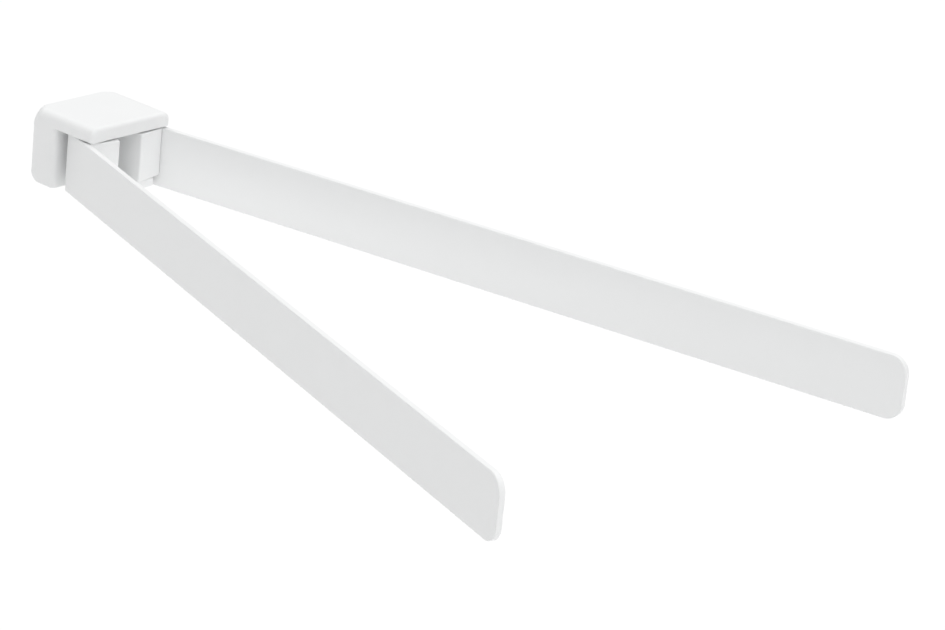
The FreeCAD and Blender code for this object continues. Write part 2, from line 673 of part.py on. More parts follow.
# ---- checks, and one STEP file for each piece ----
CUTS = ("PartDesign::Pocket", "PartDesign::Subtractive")
LEAST_CUT = 0.01
doc.recompute()
for item in doc.Objects:
    assert not {"Invalid", "Error"} & set(item.State), f"{item.Label} failed: {item.State}"
    if item.TypeId.startswith(CUTS):
        assert item.Shape.Volume < item.BaseFeature.Shape.Volume - LEAST_CUT, f"{item.Label} cuts nothing"
os.makedirs("parts", exist_ok=True)
pieces = [item for item in doc.Objects if item.isDerivedFrom("PartDesign::Body")]
for piece in pieces:
    shape = piece.Shape
    assert not shape.isNull() and shape.isValid(), f"{piece.Label} has no valid shape"
    shape.exportStep(f"parts/{piece.Label}.step")
    print(f"{piece.Label}: {len(shape.Solids)} solid(s), {shape.Volume:.0f} mm3, {shape.Placement}")
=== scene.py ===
"""Looks of the swing arm towel bar: its paint, metal and plastic, a studio and a camera.

Everything is in metres and in the frame of the model: the wall is the plane y = 0, the arms stand
out along -Y and +Z is up. Each arm turns on an upright axis that its joint names.
"""

import json
import logging
import math
from abc import ABC, abstractmethod
from dataclasses import dataclass
from enum import Enum
from typing import ClassVar

import bpy
from mathutils import Matrix, Vector


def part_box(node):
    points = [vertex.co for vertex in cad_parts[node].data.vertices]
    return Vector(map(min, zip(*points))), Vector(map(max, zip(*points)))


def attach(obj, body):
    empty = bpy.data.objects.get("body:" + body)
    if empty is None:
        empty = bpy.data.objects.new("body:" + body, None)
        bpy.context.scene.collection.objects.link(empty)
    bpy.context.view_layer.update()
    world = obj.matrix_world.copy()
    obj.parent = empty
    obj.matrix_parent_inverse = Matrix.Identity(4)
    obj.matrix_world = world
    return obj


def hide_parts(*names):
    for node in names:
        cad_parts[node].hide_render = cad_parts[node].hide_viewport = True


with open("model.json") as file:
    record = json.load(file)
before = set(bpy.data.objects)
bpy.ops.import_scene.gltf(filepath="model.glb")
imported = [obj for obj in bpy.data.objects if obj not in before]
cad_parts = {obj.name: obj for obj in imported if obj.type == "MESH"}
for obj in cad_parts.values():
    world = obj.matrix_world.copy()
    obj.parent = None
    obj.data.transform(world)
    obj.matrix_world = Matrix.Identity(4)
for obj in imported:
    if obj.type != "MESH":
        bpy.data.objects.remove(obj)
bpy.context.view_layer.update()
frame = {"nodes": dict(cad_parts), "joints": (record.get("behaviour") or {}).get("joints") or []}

MM = 0.001
HALF = 0.5
FULL_TURN = 2 * math.pi
QUARTER_TURN = math.pi / 2
WHITE = (1.0, 1.0, 1.0, 1.0)
ROOT = "wall_block"
log = logging.getLogger("towel_bar")

Colour = tuple[float, float, float, float]
Triple = tuple[float, float, float]
Material = bpy.types.Material
Socket = bpy.types.NodeSocket


# ---------------------------------------------------------------- node building


class Signal:
    """A number that varies over a surface or a mesh, with Python's operators for its maths."""

    def __init__(self, graph: "Graph", socket: Socket) -> None:
        """Wraps the output socket of a node.

        Args:
            graph: the graph that the node is in.
            socket: the output socket that gives the number.
        """
        self.graph = graph
        self.socket = socket

    def math(self, operation: str, *others: "Signal | float") -> "Signal":
        """Adds a Math node whose first value is this signal.

        Args:
            operation: the operation's name in Blender.
            others: the values that follow this one.

        Returns:
            The result of the node.
        """
        return self.graph.math(operation, self, *others)

    def __add__(self, other: "Signal | float") -> "Signal":
        """Adds a value."""
        return self.math("ADD", other)

    def __radd__(self, other: float) -> "Signal":
        """Adds this to a number."""
        return self.math("ADD", other)

    def __sub__(self, other: "Signal | float") -> "Signal":
        """Takes a value away."""
        return self.math("SUBTRACT", other)

    def __rsub__(self, other: float) -> "Signal":
        """Takes this away from a number."""
        return self.graph.math("SUBTRACT", other, self)

    def __mul__(self, other: "Signal | float") -> "Signal":
        """Multiplies by a value."""
        return self.math("MULTIPLY", other)

    def __rmul__(self, other: float) -> "Signal":
        """Multiplies a number by this."""
        return self.math("MULTIPLY", other)

    def __truediv__(self, other: "Signal | float") -> "Signal":
        """Divides by a value."""
        return self.math("DIVIDE", other)

    def __mod__(self, other: "Signal | float") -> "Signal":
        """The rest after a division, never negative."""
        return self.math("FLOORED_MODULO", other)

    def __neg__(self) -> "Signal":
        """The same number with its sign changed."""
        return self.math("MULTIPLY", -1.0)

    def __abs__(self) -> "Signal":
        """The same number without its sign."""
        return self.math("ABSOLUTE")

    def __lt__(self, other: "Signal | float") -> "Signal":
        """1 where this is less than a value, and 0 elsewhere."""
        return self.math("LESS_THAN", other)

    def __gt__(self, other: "Signal | float") -> "Signal":
        """1 where this is more than a value, and 0 elsewhere."""
        return self.math("GREATER_THAN", other)

    def at_least(self, other: "Signal | float") -> "Signal":
        """This, or a value where this is less."""
        return self.math("MAXIMUM", other)

    def floor(self) -> "Signal":
        """The whole number below."""
        return self.math("FLOOR")

    def root(self) -> "Signal":
        """The square root."""
        return self.math("SQRT")

    def sin(self) -> "Signal":
        """The sine of an angle in radians."""
        return self.math("SINE")

    def cos(self) -> "Signal":
        """The cosine of an angle in radians."""
        return self.math("COSINE")


class Graph:
    """A node tree under construction: a material's, the sky's or a geometry recipe's."""

    def __init__(self, tree: bpy.types.NodeTree) -> None:
        """Starts with an empty tree.

        Args:
            tree: the tree to fill.
        """
        self.tree = tree
        self.tree.nodes.clear()

    def node(
        self, kind: str, settings: dict | None = None, inputs: dict | None = None
    ) -> bpy.types.Node:
        """Adds a node.

        Args:
            kind: the node's type in Blender.
            settings: the node's own properties, which are set first.
            inputs: the values, sockets or signals of its inputs, by name or index.

        Returns:
            The new node.
        """
        made = self.tree.nodes.new(kind)
        for name, value in (settings or {}).items():
            setattr(made, name, value)
        for key, value in (inputs or {}).items():
            self.join(made.inputs[key], value)
        return made

    def join(self, target: Socket, value: object) -> None:
        """Sets an input socket to a value, or links it to a signal or a socket.

        Args:
            target: the input socket.
            value: a number, a tuple, a material, a signal or an output socket.
        """
        if isinstance(value, Signal):
            self.tree.links.new(value.socket, target)
        elif isinstance(value, Socket):
            self.tree.links.new(value, target)
        else:
            target.default_value = value

    def math(self, operation: str, *values: Signal | float) -> Signal:
        """Adds a Math node.

        Args:
            operation: the operation's name in Blender.
            values: its values in order.

        Returns:
            The result of the node.
        """
        made = self.node("ShaderNodeMath", {"operation": operation}, dict(enumerate(values)))
        return Signal(self, made.outputs[0])

    def parts(self, vector: Socket) -> tuple[Signal, ...]:
        """The three numbers of a vector."""
        split = self.node("ShaderNodeSeparateXYZ", inputs={"Vector": vector})
        return tuple(Signal(self, socket) for socket in split.outputs)


# ---------------------------------------------------------------- finishes


class Surface(Graph):
    """The shader graph of one material, in Object coordinates."""

    # A Mix node has sockets of one name for each kind of value. These are the colours' numbers.
    MIX_FACTOR: ClassVar[int] = 0
    MIX_LOW: ClassVar[int] = 6
    MIX_HIGH: ClassVar[int] = 7
    MIX_RESULT: ClassVar[int] = 2

    def __init__(self, name: str) -> None:
        """Makes the material with a Principled shader.

        Args:
            name: the material's name.
        """
        self.material = bpy.data.materials.new(name)
        self.material.use_nodes = True
        super().__init__(self.material.node_tree)
        self.shader = self.node("ShaderNodeBsdfPrincipled")
        self.node("ShaderNodeOutputMaterial", inputs={"Surface": self.shader.outputs[0]})
        self.place = self.node("ShaderNodeTexCoord").outputs["Object"]

    def set(self, **values: object) -> None:
        """Sets or links sockets of the shader.

        Args:
            values: socket names with underscores for spaces.
        """
        for name, value in values.items():
            self.join(self.shader.inputs[name.replace("_", " ")], value)

    def spots(self, size: float, detail: float) -> Signal:
        """Smooth round noise between 0 and 1.

        Args:
            size: the size of its spots, in metres.
            detail: how many finer layers are added.

        Returns:
            The noise.
        """
        inputs = {"Vector": self.place, "Scale": 1.0 / size, "Detail": detail}
        return Signal(self, self.node("ShaderNodeTexNoise", inputs=inputs).outputs[0])

    def streaks(self, density: Triple, detail: float) -> Signal:
        """Smooth noise between 0 and 1 that is drawn out one way.

        Args:
            density: how many streaks there are to a metre, along each axis.
            detail: how many finer layers are added.

        Returns:
            The noise.
        """
        drawn = self.node("ShaderNodeMapping", inputs={"Vector": self.place, "Scale": density})
        inputs = {"Vector": drawn.outputs[0], "Scale": 1.0, "Detail": detail}
        return Signal(self, self.node("ShaderNodeTexNoise", inputs=inputs).outputs[0])

    def blend(self, factor: Signal, low: Colour, high: Colour) -> Socket:
        """A colour between two.

        Args:
            factor: 0 for the first and 1 for the second.
            low: the first colour.
            high: the second colour.

        Returns:
            The colour socket.
        """
        inputs = {self.MIX_FACTOR: factor, self.MIX_LOW: low, self.MIX_HIGH: high}
        mix = self.node("ShaderNodeMix", {"data_type": "RGBA"}, inputs)
        return mix.outputs[self.MIX_RESULT]

    def relief(self, height: Signal, depth: float) -> None:
        """Gives the surface a fine relief.

        Args:
            height: the height between 0 and 1.
            depth: how deep that is, in metres.
        """
        bump = self.node("ShaderNodeBump", inputs={"Height": height, "Distance": depth})
        self.set(Normal=bump.outputs[0])


@dataclass(frozen=True)
class Finish(ABC):
    """A finish of the object's surface, whose colour lies between two tones.

    In each finish a size or a pitch is in metres, a detail is how many finer layers a noise has,
    and a play is how much of the roughness comes and goes with it.
    """

    light: Colour
    dark: Colour

    def make(self, name: str) -> Material:
        """Makes the material.

        Args:
            name: the material's name.

        Returns:
            The material.
        """
        surface = Surface(name)
        self.draw(surface)
        return surface.material

    @abstractmethod
    def draw(self, surface: Surface) -> None:
        """Sets and links the sockets of the material's shader.

        Args:
            surface: the graph of the material.
        """


@dataclass(frozen=True)
class PowderPaint(Finish):
    """Satin white powder coat, with a faint orange peel."""

    light: Colour = (0.870, 0.876, 0.877, 1.0)
    dark: Colour = (0.854, 0.861, 0.862, 1.0)
    cloud_size: float = 22 * MM
    cloud_detail: float = 3.0
    cloud_play: float = 0.08
    peel_size: float = 1.6 * MM
    peel_detail: float = 1.0
    peel_depth: float = 0.006 * MM
    grain_size: float = 0.25 * MM
    grain_detail: float = 0.0
    grain_play: float = 0.03
    grain_share: float = 0.12
    roughness: float = 0.48
    refraction: float = 1.4
    coat: float = 0.03
    coat_roughness: float = 0.3

    def draw(self, surface: Surface) -> None:
        """Draws clouds in colour and gloss, and a peel with a fine grain on it.

        Args:
            surface: the graph of the material.
        """
        clouds = surface.spots(self.cloud_size, self.cloud_detail)
        peel = surface.spots(self.peel_size, self.peel_detail)
        grain = surface.spots(self.grain_size, self.grain_detail)
        dull = self.roughness + (clouds - HALF) * self.cloud_play
        surface.set(
            Base_Color=surface.blend(clouds, self.dark, self.light),
            Roughness=dull + (grain - HALF) * self.grain_play,
            IOR=self.refraction,
            Coat_Weight=self.coat,
            Coat_Roughness=self.coat_roughness,
        )
        surface.relief(peel + grain * self.grain_share, self.peel_depth)


@dataclass(frozen=True)
class ZincPlate(Finish):
    """Rolled steel sheet with a bright zinc plating."""

    light: Colour = (0.70, 0.71, 0.73, 1.0)
    dark: Colour = (0.52, 0.53, 0.56, 1.0)
    streak_density: Triple = (60.0, 900.0, 2200.0)
    streak_detail: float = 4.0
    streak_share: float = 0.6
    streak_play: float = 0.12
    streak_depth: float = 0.004 * MM
    cloud_size: float = 7 * MM
    cloud_detail: float = 3.0
    cloud_share: float = 0.4
    cloud_play: float = 0.1
    roughness: float = 0.3

    def draw(self, surface: Surface) -> None:
        """Draws the streaks of the rolling and the clouds of the plating.

        Args:
            surface: the graph of the material.
        """
        streaks = surface.streaks(self.streak_density, self.streak_detail)
        clouds = surface.spots(self.cloud_size, self.cloud_detail)
        tone = streaks * self.streak_share + clouds * self.cloud_share
        surface.set(
            Base_Color=surface.blend(tone, self.dark, self.light),
            Metallic=1.0,
            Roughness=self.roughness + streaks * self.streak_play + clouds * self.cloud_play,
        )
        surface.relief(streaks, self.streak_depth)


@dataclass(frozen=True)
class TurnedSteel(Finish):
    """Stainless steel as it leaves the lathe: fine rings round the screw's upright axis."""

    light: Colour = (0.72, 0.72, 0.72, 1.0)
    dark: Colour = (0.56, 0.56, 0.57, 1.0)
    axis: tuple[float, float] = (0.0, 0.0)
    ring_pitch: float = 0.12 * MM
    ring_play: float = 0.04
    ring_depth: float = 0.002 * MM
    haze_size: float = 1.5 * MM
    haze_detail: float = 2.0
    haze_play: float = 0.12
    roughness: float = 0.24

    def draw(self, surface: Surface) -> None:
        """Draws the rings that the tool left, and a light haze.

        Args:
            surface: the graph of the material.
        """
        inputs = {"Vector": surface.place, "Location": (-self.axis[0], -self.axis[1], 0.0)}
        centred = surface.node("ShaderNodeMapping", inputs=inputs)
        across, along, up = surface.parts(centred.outputs[0])
        radius = (across * across + along * along).root()
        rings = ((radius + up) * (FULL_TURN / self.ring_pitch)).sin() * HALF + HALF
        haze = surface.spots(self.haze_size, self.haze_detail)
        surface.set(
            Base_Color=surface.blend(haze, self.dark, self.light),
            Metallic=1.0,
            Roughness=self.roughness + haze * self.haze_play + rings * self.ring_play,
        )
        surface.relief(rings, self.ring_depth)


@dataclass(frozen=True)
class SpringSteel(Finish):
    """Plain spring steel: darker, with the grain of the strip."""

    light: Colour = (0.48, 0.48, 0.50, 1.0)
    dark: Colour = (0.30, 0.30, 0.33, 1.0)
    grain_density: Triple = (200.0, 2600.0, 2600.0)
    grain_detail: float = 3.0
    grain_play: float = 0.14
    grain_depth: float = 0.003 * MM
    roughness: float = 0.34

    def draw(self, surface: Surface) -> None:
        """Draws the grain along the strip.

        Args:
            surface: the graph of the material.
        """
        grain = surface.streaks(self.grain_density, self.grain_detail)
        surface.set(
            Base_Color=surface.blend(grain, self.dark, self.light),
            Metallic=1.0,
            Roughness=self.roughness + grain * self.grain_play,
        )
        surface.relief(grain, self.grain_depth)


@dataclass(frozen=True)
class Acetal(Finish):
    """Natural acetal of the bushes: off-white, dull and a little translucent."""

    light: Colour = (0.84, 0.83, 0.80, 1.0)
    dark: Colour = (0.78, 0.77, 0.73, 1.0)
    cloud_size: float = 4 * MM
    cloud_detail: float = 2.0
    grain_size: float = 0.3 * MM
    grain_detail: float = 1.0
    grain_play: float = 0.08
    grain_depth: float = 0.004 * MM
    roughness: float = 0.42
    translucency: float = 0.08

    def draw(self, surface: Surface) -> None:
        """Draws clouds in the colour, and a fine grain.

        Args:
            surface: the graph of the material.
        """
        clouds = surface.spots(self.cloud_size, self.cloud_detail)
        grain = surface.spots(self.grain_size, self.grain_detail)
        surface.set(
            Base_Color=surface.blend(clouds, self.dark, self.light),
            Roughness=self.roughness + grain * self.grain_play,
            Subsurface_Weight=self.translucency,
        )
        surface.relief(grain, self.grain_depth)


@dataclass(frozen=True)
class Finishes:
    """The materials that several pieces share."""

    paint: Material
    zinc: Material
    spring: Material
    acetal: Material

    @classmethod
    def made(cls) -> "Finishes":
        """Makes each of the materials once.

        Returns:
            The materials.
        """
        return cls(
            paint=PowderPaint().make("white_powder_paint"),
            zinc=ZincPlate().make("zinc_plated_sheet"),
            spring=SpringSteel().make("spring_steel"),
            acetal=Acetal().make("natural_acetal"),
        )


# ---------------------------------------------------------------- geometry recipes


class Recipe(Graph):
    """A Geometry Nodes tree with named sizes, which runs to a plain mesh."""

    WELD_DISTANCE: ClassVar[float] = 0.0005 * MM
    # A face looks along X, or against it, where the X of its normal is longer than this.
    FLAT: ClassVar[float] = 0.9999

    def __init__(self, name: str, sizes: dict[str, float]) -> None:
        """Makes the tree with an input for each size.

        Args:
            name: the tree's name.
            sizes: the sizes, by name: whole numbers are counts and the others are in metres.
        """
        super().__init__(bpy.data.node_groups.new(name, "GeometryNodeTree"))
        self.sizes = sizes
        for label, value in sizes.items():
            kind = "NodeSocketInt" if isinstance(value, int) else "NodeSocketFloat"
            self.tree.interface.new_socket(label, in_out="INPUT", socket_type=kind)
        self.tree.interface.new_socket("Mesh", in_out="OUTPUT", socket_type="NodeSocketGeometry")
        self.entry = self.node("NodeGroupInput")
        self.exit = self.node("NodeGroupOutput")

    def size(self, label: str) -> Signal:
        """One of the named sizes, as a signal."""
        return Signal(self, self.entry.outputs[label])

    def index(self) -> Signal:
        """The number of each point."""
        return Signal(self, self.node("GeometryNodeInputIndex").outputs[0])

    def vector(self, x: Signal | float, y: Signal | float, z: Signal | float) -> Socket:
        """A vector of three numbers or signals."""
        return self.node("ShaderNodeCombineXYZ", inputs={"X": x, "Y": y, "Z": z}).outputs[0]

    def grid(self, columns: Signal, rows: Signal | int) -> tuple[Socket, Signal, Signal]:
        """A mesh of columns and rows, to be bent into a piece.

        Args:
            columns: how many points it has one way.
            rows: how many points it has the other way.

        Returns:
            The mesh, and the column and the row of each point, counted from 0.
        """
        inputs = {
            "Size X": columns - 1,
            "Size Y": rows - 1,
            "Vertices X": columns,
            "Vertices Y": rows,
        }
        mesh = self.node("GeometryNodeMeshGrid", inputs=inputs).outputs["Mesh"]
        x, y, _ = self.parts(self.node("GeometryNodeInputPosition").outputs[0])
        column = x + (columns - 1) / 2 + HALF
        row = y + (rows - 1) / 2 + HALF
        return mesh, column.floor(), row.floor()

    def placed(self, mesh: Socket, x: Signal, y: Signal, z: Signal) -> Socket:
        """Puts each point of a mesh at a place.

        Args:
            mesh: the mesh.
            x: the new place along X.
            y: the new place along Y.
            z: the new place along Z.

        Returns:
            The mesh with its points at their places.
        """
        inputs = {"Geometry": mesh, "Position": self.vector(x, y, z)}
        return self.node("GeometryNodeSetPosition", inputs=inputs).outputs[0]

    def flipped(self, mesh: Socket) -> Socket:
        """Turns the faces of a mesh over."""
        return self.node("GeometryNodeFlipFaces", inputs={"Mesh": mesh}).outputs[0]

    def welded(self, *meshes: Socket) -> Socket:
        """Joins meshes and merges the points that meet.

        Args:
            meshes: the meshes.

        Returns:
            The one mesh.
        """
        joined = self.node("GeometryNodeJoinGeometry")
        for mesh in meshes:
            self.join(joined.inputs[0], mesh)
        inputs = {"Geometry": joined.outputs[0], "Distance": self.WELD_DISTANCE}
        return self.node("GeometryNodeMergeByDistance", inputs=inputs).outputs[0]

    def cone(
        self, sides: Signal, radii: tuple[Signal, Signal], depth: Signal, turn: int, start: Signal
    ) -> Socket:
        """A cone or a cylinder that lies along X.

        Args:
            sides: how many sides it has.
            radii: its radius where it starts and where it ends.
            depth: how long it is.
            turn: 1 where it points to +X, and -1 where it points to -X.
            start: where it starts along X.

        Returns:
            The closed mesh.
        """
        inputs = {
            "Vertices": sides,
            "Radius Bottom": radii[0],
            "Radius Top": radii[1],
            "Depth": depth,
        }
        upright = self.node("GeometryNodeMeshCone", inputs=inputs).outputs["Mesh"]
        inputs = {
            "Geometry": upright,
            "Translation": self.vector(start, 0.0, 0.0),
            "Rotation": (0.0, turn * QUARTER_TURN, 0.0),
        }
        return self.node("GeometryNodeTransform", inputs=inputs).outputs[0]

    def repeated(self, shape: Socket, points: Socket) -> Socket:
        """Puts a copy of a mesh on each point.

        Args:
            shape: the mesh.
            points: the points.

        Returns:
            The copies, as one mesh.
        """
        inputs = {"Points": points, "Instance": shape}
        copies = self.node("GeometryNodeInstanceOnPoints", inputs=inputs).outputs[0]
        return self.node("GeometryNodeRealizeInstances", inputs={"Geometry": copies}).outputs[0]

    def cut(self, mesh: Socket, *cutters: Socket) -> Socket:
        """Cuts closed shapes out of a mesh.

        Args:
            mesh: the mesh.
            cutters: the shapes.

        Returns:
            What is left of the mesh.
        """
        settings = {"operation": "DIFFERENCE", "solver": "EXACT"}
        difference = self.node("GeometryNodeMeshBoolean", settings, {"Mesh 1": mesh})
        for cutter in cutters:
            self.join(difference.inputs["Mesh 2"], cutter)
        return difference.outputs["Mesh"]

    def shaded(self, mesh: Socket) -> Socket:
        """Shades a mesh smooth, apart from its faces that look along X, which are flat.

        Args:
            mesh: the mesh.

        Returns:
            The shaded mesh.
        """
        across, _, _ = self.parts(self.node("GeometryNodeInputNormal").outputs[0])
        inputs = {"Geometry": mesh, "Shade Smooth": abs(across) < self.FLAT}
        return self.node("GeometryNodeSetShadeSmooth", inputs=inputs).outputs[0]

    def run(self, name: str, mesh: Socket, finish: Material) -> bpy.types.Object:
        """Closes the tree and runs it.

        Args:
            name: the name of the piece.
            mesh: the mesh that the tree ends with.
            finish: the material of the piece.

        Returns:
            An object with a plain mesh and no modifier.
        """
        real = self.node("GeometryNodeRealizeInstances", inputs={"Geometry": mesh}).outputs[0]
        inputs = {"Geometry": real, "Material": finish}
        dressed = self.node("GeometryNodeSetMaterial", inputs=inputs).outputs[0]
        self.join(self.exit.inputs[0], dressed)
        piece = bpy.data.objects.new(name, bpy.data.meshes.new(name))
        bpy.context.scene.collection.objects.link(piece)
        modifier = piece.modifiers.new(name, "NODES")
        modifier.node_group = self.tree
        for item in self.tree.interface.items_tree:
            if item.in_out == "INPUT":
                modifier[item.identifier] = self.sizes[item.name]
        shape = piece.evaluated_get(bpy.context.evaluated_depsgraph_get())
        plain = bpy.data.meshes.new_from_object(shape)
        piece.modifiers.remove(modifier)
        piece.data = plain
        return piece


# ---------------------------------------------------------------- the object


class Side(Enum):
    """The two sides of the block, as seen from the front."""

    LEFT = ("left", -1)
    RIGHT = ("right", 1)

    @property
    def word(self) -> str:
        """The name of the side in the names of nodes."""
        return self.value[0]

    @property
    def sign(self) -> int:
        """Which way the side lies along X."""
        return self.value[1]


def dress(node: str, finish: Material) -> None:
    """Gives a node of the model a finish.

    Args:
        node: the node's name.
        finish: its material.
    """
    for slot in frame["nodes"][node].material_slots:
        slot.material = finish
    log.info("%s: %s", node, finish.name)


def middle(node: str) -> Vector:
    """The middle of a node's box."""
    low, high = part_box(node)
    return (low + high) / 2


@dataclass
class WallBlock:
    """The housing on the wall with its plate and its lock screw."""

    finishes: Finishes

    def build(self) -> None:
        """Dresses the pieces that stay on the wall."""
        dress("housing", self.finishes.paint)
        dress("wall_plate", self.finishes.zinc)
        x, y, _ = middle("lock_screw")
        finish = TurnedSteel(axis=(x, y))
        dress("lock_screw", finish.make("turned_lock_screw"))


@dataclass
class SwingArm:
    """One arm: a flat bar with rounded ends on a knuckle that turns between hood and lug.

    The bar is drawn with the pivot on the Z axis and the arm along -Y. From there the bar reaches
    to its tip, its tail lies behind the pivot and its inner face beside it.
    """

    side: Side
    finishes: Finishes
    reach: float = 417.3 * MM
    tail: float = 5.8 * MM
    inner_face: float = 7.9 * MM
    bar_thickness: float = 3.0 * MM
    tip_radius: float = 8.5 * MM
    tail_radius: float = 1.2 * MM
    edge_radius: float = 0.6 * MM
    corner_steps: int = 20
    edge_steps: int = 6
    rivet_count: int = 2
    rivet_ahead: float = 9.0 * MM
    shank_hole: float = 2.02 * MM
    head_hole: float = 3.52 * MM
    sink_depth: float = 1.5 * MM
    hole_sides: int = 64
    cut_room: float = 0.4 * MM
    washer_inner: float = 3.2 * MM
    washer_outer: float = 6.0 * MM
    washer_sheet: float = 0.2 * MM
    waves: int = 3
    wave_steps: int = 32

    # The bar's outline and the washer's section have four corners, numbered from 0. Halfway
    # between the second and the third is the middle one.
    CORNERS: ClassVar[int] = 4
    MIDDLE_CORNER: ClassVar[float] = 1.5
    # This keeps a quotient that ought to be whole from falling just below its number.
    ROUND_OFF: ClassVar[float] = 1e-4

    @property
    def joint(self) -> dict:
        """The joint that the arm turns on."""
        return next(j for j in frame["joints"] if j["child"] == f"{self.side.word}_arm")

    def build(self) -> None:
        """Makes and dresses the pieces of the arm and of its pivot."""
        word = self.side.word
        x, y, _ = self.joint["pos_m"]
        finish = TurnedSteel(axis=(x, y))
        dress(f"{word}_pivot_screw", finish.make(f"turned_{word}_pivot_screw"))
        dress(f"{word}_thrust_washer", self.finishes.spring)
        dress(f"{word}_knuckle", self.finishes.paint)
        for level in ("lower", "upper"):
            dress(f"{word}_{level}_bush", self.finishes.acetal)
            dress(f"{word}_{level}_rivet", self.finishes.paint)
        self.make_bar()
        self.make_wave_washer()

    def stand_on_pivot(self, piece: bpy.types.Object, turned: bool) -> None:
        """Moves a mesh from the pivot's own frame to its place in the model.

        Args:
            piece: the piece, drawn with its pivot on the Z axis and its arm along -Y.
            turned: whether it turns with the arm to its rest angle.
        """
        x, y, _ = self.joint["pos_m"]
        rest = math.radians(self.joint["range_deg"][0]) if turned else 0.0
        turn = Matrix.Rotation(-self.side.sign * rest, 4, "Z")
        piece.data.transform(Matrix.Translation((x, y, 0.0)) @ turn)

    def make_bar(self) -> None:
        """Makes the flat bar: a strip with a rounded outline and long edges, and rivet holes."""
        node = f"{self.side.word}_bar"
        low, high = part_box(node)
        lowest, highest = (
            middle(f"{self.side.word}_{level}_rivet").z for level in ("lower", "upper")
        )
        recipe = Recipe(f"{node}_recipe", {
            "Reach": self.reach,
            "Tail": self.tail,
            "Floor": low.z,
            "Roof": high.z,
            "Inner Face": self.inner_face,
            "Thickness": self.bar_thickness,
            "Tip Radius": self.tip_radius,
            "Tail Radius": self.tail_radius,
            "Edge Radius": self.edge_radius,
            "Corner Steps": self.corner_steps,
            "Edge Steps": self.edge_steps,
            "Rivets": self.rivet_count,
            "Rivets Ahead": self.rivet_ahead,
            "Lowest Rivet": lowest,
            "Rivet Spacing": (highest - lowest) / (self.rivet_count - 1),
            "Shank Radius": self.shank_hole,
            "Head Radius": self.head_hole,
            "Sink Depth": self.sink_depth,
            "Hole Sides": self.hole_sides,
            "Cut Room": self.cut_room,
        })
        around = self.CORNERS * (recipe.size("Corner Steps") + 1)
        rings = 2 * (recipe.size("Edge Steps") + 1)
        wall, column, row = recipe.grid(around + 1, rings)
        wall = self.bent_strip(recipe, wall, column % around, row)
        disc = recipe.node("GeometryNodeMeshCircle", {"fill_type": "NGON"}, {"Vertices": around})
        inner_cap, outer_cap = (
            self.bent_strip(recipe, disc.outputs[0], recipe.index(), ring)
            for ring in (0.0, rings - 1)
        )
        strip = recipe.welded(wall, recipe.flipped(inner_cap), outer_cap)
        bored = recipe.cut(strip, *self.rivet_cutters(recipe))
        bar = recipe.run(f"painted_{node}", recipe.shaded(bored), self.finishes.paint)
        self.stand_on_pivot(bar, turned=True)
        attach(bar, f"{self.side.word}_arm")
        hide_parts(node)
        log.info("%s: %d faces", bar.name, len(bar.data.polygons))

    def rivet_cutters(self, recipe: Recipe) -> list[Socket]:
        """The shapes that cut the countersunk holes of the rivets.

        Args:
            recipe: the bar's recipe.

        Returns:
            The sinks of all holes, and their shanks.
        """
        sign = self.side.sign
        inner_face = recipe.size("Inner Face")
        thickness = recipe.size("Thickness")
        sink = recipe.size("Sink Depth")
        room = recipe.size("Cut Room")
        narrow = recipe.size("Shank Radius")
        wide = recipe.size("Head Radius")
        sides = recipe.size("Hole Sides")
        ahead = -recipe.size("Rivets Ahead")
        points = recipe.node("GeometryNodeMeshLine", inputs={
            "Count": recipe.size("Rivets"),
            "Start Location": recipe.vector(0.0, ahead, recipe.size("Lowest Rivet")),
            "Offset": recipe.vector(0.0, 0.0, recipe.size("Rivet Spacing")),
        }).outputs[0]
        widest = wide + (wide - narrow) * room / sink
        start = (inner_face + thickness - sink) * sign
        sinks = recipe.cone(sides, (narrow, widest), sink + room, sign, start)
        start = (inner_face - room) * sign
        shanks = recipe.cone(sides, (narrow, narrow), thickness + room * 2, sign, start)
        return [recipe.repeated(shape, points) for shape in (sinks, shanks)]

    def bent_strip(
        self, recipe: Recipe, mesh: Socket, column: Signal, row: Signal | float
    ) -> Socket:
        """Puts the points of a mesh on the skin of the bar.

        The outline starts at the tip and goes over the top: corners 0 and 3 are the tip's,
        corners 0 and 1 are on top.

        Args:
            recipe: the bar's recipe.
            mesh: the mesh.
            column: the number of each point round the outline.
            row: the number of its ring, from the inner face to the outer one.

        Returns:
            The mesh on the skin of the bar.
        """
        steps = recipe.size("Corner Steps")
        corner = (column / (steps + 1) + self.ROUND_OFF).floor()
        angle = (corner + (column - corner * (steps + 1)) / steps) * QUARTER_TURN
        at_tip = abs(corner - self.MIDDLE_CORNER) > 1.0
        on_top = corner < self.MIDDLE_CORNER

        tail_radius = recipe.size("Tail Radius")
        radius = at_tip * (recipe.size("Tip Radius") - tail_radius) + tail_radius
        tip = recipe.size("Reach") - radius
        tail = radius - recipe.size("Tail")
        ahead = at_tip * tip + (1.0 - at_tip) * tail
        top = recipe.size("Roof") - radius
        bottom = recipe.size("Floor") + radius
        up = on_top * top + (1.0 - on_top) * bottom

        turns = recipe.size("Edge Steps")
        edge = recipe.size("Edge Radius")
        outer = row > turns + HALF
        tilt = (row - outer) / turns * QUARTER_TURN
        inset = edge - edge * tilt.sin()
        depth = edge - edge * tilt.cos() + outer * (recipe.size("Thickness") - 2 * edge)

        across = (recipe.size("Inner Face") + depth) * self.side.sign
        out = ahead + angle.cos() * (radius - inset)
        return recipe.placed(mesh, across, -out, up + angle.sin() * (radius - inset))

